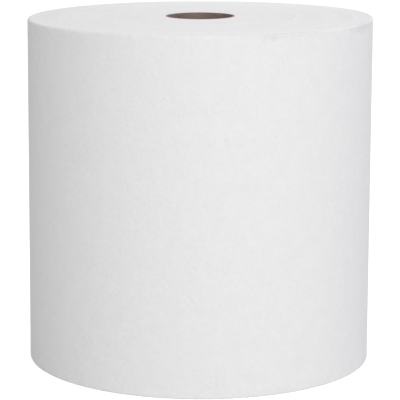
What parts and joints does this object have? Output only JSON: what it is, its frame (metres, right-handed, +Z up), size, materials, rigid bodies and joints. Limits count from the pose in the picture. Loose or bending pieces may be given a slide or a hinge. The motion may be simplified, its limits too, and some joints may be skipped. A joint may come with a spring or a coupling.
{
  "type": "paper towel roll",
  "caption": "Full hard-wound roll of white creped towel paper on a brown paperboard core, standing on one flat sawn end.",
  "frame": {"origin": "centre of the lower sawn end, on the winding axis", "axes": "+Z up along the winding axis; the side seen in the picture faces -Y; the cut end of the web lies at the back, 118 degrees from +X"},
  "size_m": [0.2027, 0.2029, 0.2032],
  "materials": {
    "towel_paper": "matt creped tissue, bleached white",
    "core_board": "matt uncoated kraft paperboard"
  },
  "bodies": {
    "root": {"paper_roll": "towel_paper", "core_tube": "core_board"}
  },
  "joints": []
}
